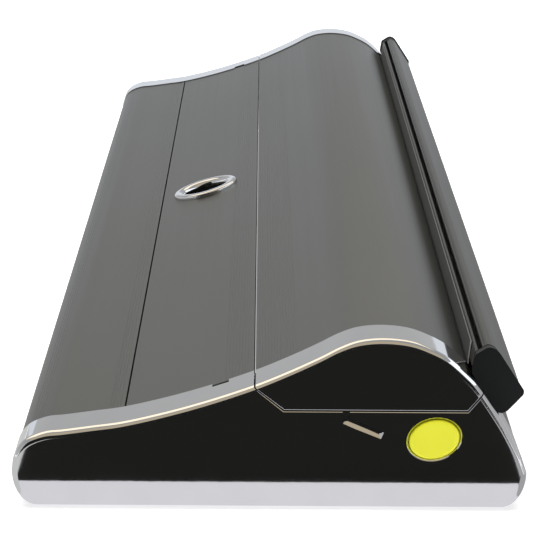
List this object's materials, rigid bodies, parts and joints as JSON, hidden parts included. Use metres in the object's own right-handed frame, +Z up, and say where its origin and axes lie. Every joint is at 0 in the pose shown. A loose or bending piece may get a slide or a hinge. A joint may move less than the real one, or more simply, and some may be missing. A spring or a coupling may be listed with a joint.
{
  "type": "roll-up banner stand",
  "caption": "Closed cassette roll-up banner stand: grey aluminium base with chromed end caps, lift-out cassette with spring roller, docked top rail, release buttons, pole socket, stowed pole.",
  "frame": {"origin": "on the floor under the middle of the base", "axes": "+X along the stand, towards the end with the pole hatch; -Y is the front, where the top rail docks and the graphic comes out; +Z up"},
  "size_m": [0.913, 0.241, 0.0832],
  "materials": {
    "anodised_aluminium": "satin grey anodised, drawn lines along the length",
    "mill_aluminium": "satin",
    "chrome": "polished",
    "steel": "satin",
    "black_plastic": "fine grain",
    "rubber": "matt",
    "yellow_plastic": "semi-gloss",
    "graphic_film": "matt film, blank"
  },
  "bodies": {
    "base": {"rear_nose_profile": "anodised_aluminium", "middle_panel_profile": "anodised_aluminium", "front_trough_profile": "anodised_aluminium", "foot_pad_1": "rubber", "foot_pad_2": "rubber", "foot_pad_3": "rubber", "foot_pad_4": "rubber", "base_cap_left": "chrome", "base_cap_right": "chrome", "cap_screw_left_1": "steel", "cap_screw_left_2": "steel", "cap_screw_right_1": "steel", "cap_screw_right_2": "steel", "latch_pin_left": "steel", "latch_pin_right": "steel", "latch_spring_left": "steel", "latch_spring_right": "steel", "pole_socket_collar": "chrome", "pole_socket_tube": "black_plastic", "pole_clip_1": "black_plastic", "pole_clip_2": "black_plastic"},
    "cassette": {"cassette_hood": "anodised_aluminium", "cassette_tray": "anodised_aluminium", "cassette_cap_left": "chrome", "cassette_cap_right": "chrome", "roller_plate_left": "steel", "roller_plate_right": "steel", "roller_spindle": "steel", "roller_spring": "steel", "graphic_in_cassette": "graphic_film", "graphic_web": "graphic_film"},
    "roller": {"roller_tube": "mill_aluminium", "roller_plug_left": "black_plastic", "roller_plug_right": "black_plastic", "wound_graphic": "graphic_film"},
    "leader": {"graphic_hem": "graphic_film"},
    "rail": {"rail_body": "anodised_aluminium", "rail_end_cap_left": "black_plastic", "rail_end_cap_right": "black_plastic", "graphic_clamp_strip": "graphic_film"},
    "jaw": {"rail_jaw": "anodised_aluminium"},
    "button_left": {"release_button_left": "yellow_plastic"},
    "button_right": {"release_button_right": "yellow_plastic"},
    "latch_left": {"latch_lever_left": "steel"},
    "latch_right": {"latch_lever_right": "steel"},
    "pole_outer": {"pole_outer_tube": "mill_aluminium", "pole_foot_plug": "black_plastic", "pole_lock_collar_outer": "black_plastic"},
    "pole_middle": {"pole_middle_tube": "mill_aluminium", "pole_lock_collar_inner": "black_plastic"},
    "pole_inner": {"pole_inner_tube": "mill_aluminium", "pole_top_hook": "black_plastic"}
  },
  "joints": [
    {"name": "cassette_lift", "type": "slide", "parent": "base", "child": "cassette", "axis": [0, 0, 1], "range_m": [0, 0.12]},
    {"name": "graphic_pull", "type": "slide", "parent": "cassette", "child": "leader", "axis": [0, 0, 1], "range_m": [0, 2], "stiffness_N_per_m": 6, "springref_m": -2, "deforming": ["graphic_web"]},
    {"name": "roller_spin", "type": "hinge", "parent": "cassette", "child": "roller", "pos_m": [0, -0.0465, 0.0437], "axis": [1, 0, 0], "continuous": true},
    {"name": "rail_tip", "type": "hinge", "parent": "leader", "child": "rail", "pos_m": [0, -0.09486, 0.07436], "axis": [-1, 0, 0], "range_deg": [0, 146]},
    {"name": "jaw_open", "type": "hinge", "parent": "rail", "child": "jaw", "pos_m": [0, -0.1156, 0.05578], "axis": [1, 0, 0], "range_deg": [0, 60]},
    {"name": "button_press_left", "type": "slide", "parent": "base", "child": "button_left", "axis": [1, 0, 0], "range_m": [0, 0.003], "stiffness_N_per_m": 800, "springref_m": -0.002},
    {"name": "button_press_right", "type": "slide", "parent": "base", "child": "button_right", "axis": [-1, 0, 0], "range_m": [0, 0.003], "stiffness_N_per_m": 800, "springref_m": -0.002},
    {"name": "latch_rock_left", "type": "hinge", "parent": "base", "child": "latch_left", "pos_m": [-0.4365, -0.0767, 0.03799], "axis": [0, -1, 0], "range_deg": [0, 22]},
    {"name": "latch_rock_right", "type": "hinge", "parent": "base", "child": "latch_right", "pos_m": [0.4365, -0.0767, 0.03799], "axis": [0, 1, 0], "range_deg": [0, 22]},
    {"name": "pole_pull_out", "type": "slide", "parent": "base", "child": "pole_outer", "axis": [1, 0, 0], "range_m": [0, 0.84]},
    {"name": "pole_extend_middle", "type": "slide", "parent": "pole_outer", "child": "pole_middle", "axis": [1, 0, 0], "range_m": [0, 0.6]},
    {"name": "pole_extend_inner", "type": "slide", "parent": "pole_middle", "child": "pole_inner", "axis": [1, 0, 0], "range_m": [0, 0.6]}
  ],
  "couplings": [
    {"joint": "roller_spin", "follows": "graphic_pull", "rad_per_m": 42.2},
    {"joint": "latch_rock_left", "follows": "button_press_left", "rad_per_m": 125},
    {"joint": "latch_rock_right", "follows": "button_press_right", "rad_per_m": 125}
  ]
}
